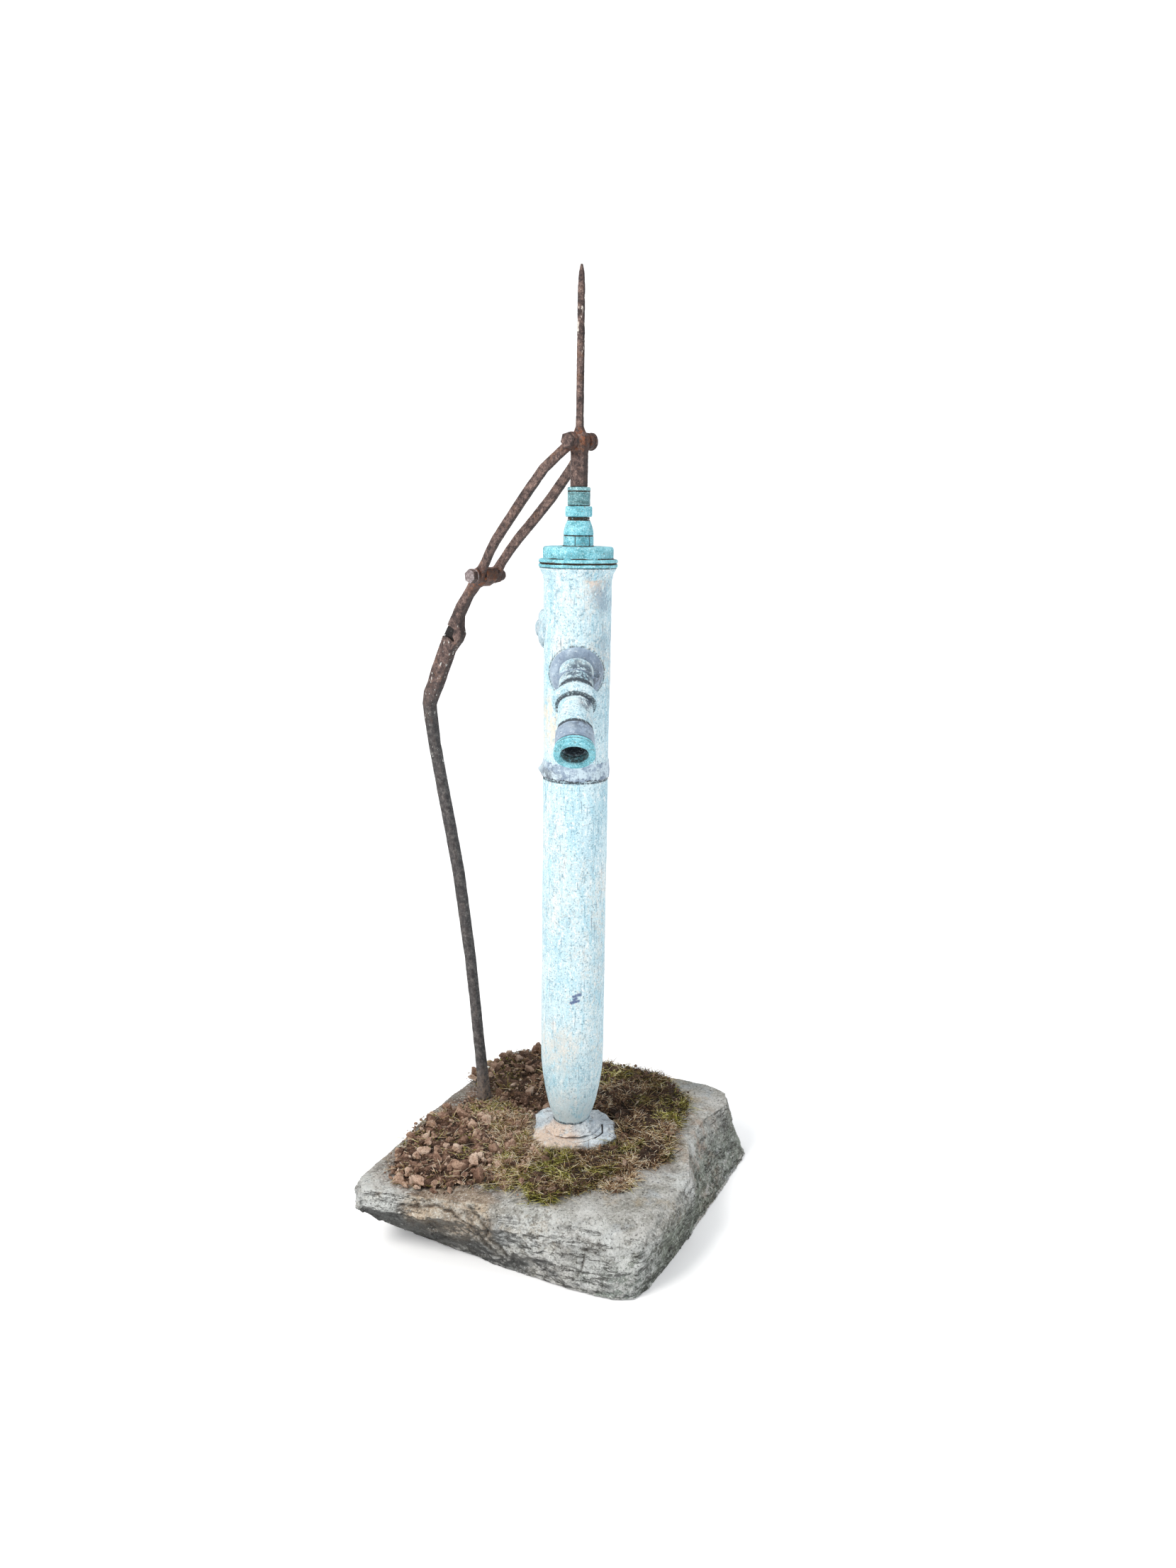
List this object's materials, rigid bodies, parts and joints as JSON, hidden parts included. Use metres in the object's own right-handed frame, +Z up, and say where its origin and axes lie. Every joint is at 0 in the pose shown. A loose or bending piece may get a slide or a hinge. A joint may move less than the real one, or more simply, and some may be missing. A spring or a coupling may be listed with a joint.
{
  "type": "hand well pump",
  "caption": "Tall lead hand well pump on a rough stone block: capped brass head and gland, down-turned spout, iron rod, two-strap fork and long bent handle.",
  "frame": {"origin": "on the stone's underside, on the axis of the barrel", "axes": "+Z up along the barrel, -Y the way the spout points, +X to the right of a viewer who faces the spout"},
  "size_m": [0.697, 0.69, 1.571],
  "materials": {
    "lead": "chalky pale blue-white lead patina, streaked and mottled",
    "solder": "grey-blue wiped lead solder, dull",
    "verdigris": "matt turquoise verdigris over brass, dark in the crevices",
    "inner_brass": "dull inner brass",
    "iron": "dark forged iron with brown and orange rust",
    "leather": "greased leather",
    "hemp": "greased hemp packing",
    "stone": "weathered sandstone with a split, cracked front",
    "soil": "dry crumbly soil",
    "moss": "dry olive and tan moss"
  },
  "bodies": {
    "pump": {"stone_base": "stone", "soil_left": "soil", "soil_back": "soil", "moss_centre": "moss", "moss_front": "moss", "moss_right": "moss", "moss_tuft": "moss", "foot_plate": "lead", "foot_wiped_joint": "solder", "lower_barrel": "lead", "barrel_band": "solder", "upper_barrel": "lead", "spout_collar": "solder", "spout_pipe": "lead", "spout_bead": "lead", "spout_joint": "solder", "outlet_ring": "verdigris", "delivery_collar": "solder", "delivery_stub": "lead", "delivery_plug": "solder", "head_collar": "lead", "head_ring": "verdigris", "head_gasket": "leather", "head_cover": "verdigris", "gland_body": "verdigris", "gland_packing": "hemp", "gland_collar": "verdigris", "gland_nut": "verdigris", "gland_sleeve": "verdigris", "foot_valve_seat": "inner_brass", "foot_clack_clamp": "inner_brass"},
    "rod": {"rod_head": "iron", "pump_rod": "inner_brass", "bucket_yoke": "inner_brass", "bucket_body": "inner_brass", "cup_leather": "leather", "bucket_ring": "inner_brass"},
    "bucket_valve": {"bucket_valve": "inner_brass", "bucket_valve_guide": "inner_brass"},
    "foot_clack": {"foot_clack_leather": "leather", "foot_clack_weight": "lead"},
    "fork": {"link_strap_near": "iron", "link_strap_far": "iron", "upper_pin": "iron", "upper_pin_end": "iron", "upper_collar_near": "iron", "upper_collar_far": "iron", "lower_pin": "iron", "lower_pin_end": "iron", "lower_collar_near": "iron", "lower_collar_far": "iron"},
    "handle": {"handle": "iron"}
  },
  "joints": [
    {"name": "rod_slide", "type": "slide", "parent": "pump", "child": "rod", "axis": [0, 0, 1], "range_m": [0, 0.16]},
    {"name": "fork_swing", "type": "hinge", "parent": "rod", "child": "fork", "pos_m": [0, 0, 1.307], "axis": [0.6293, 0.7771, 0], "range_deg": [0, 75]},
    {"name": "handle_swing", "type": "hinge", "parent": "fork", "child": "handle", "pos_m": [-0.15877, 0.12857, 1.088], "axis": [0.6293, 0.7771, 0], "range_deg": [0, 90]},
    {"name": "bucket_valve_lift", "type": "slide", "parent": "rod", "child": "bucket_valve", "axis": [0, 0, 1], "range_m": [0, 0.01]},
    {"name": "foot_clack_swing", "type": "hinge", "parent": "pump", "child": "foot_clack", "pos_m": [-0.0315, 0, 0.2855], "axis": [0, -1, 0], "range_deg": [0, 25]}
  ]
}
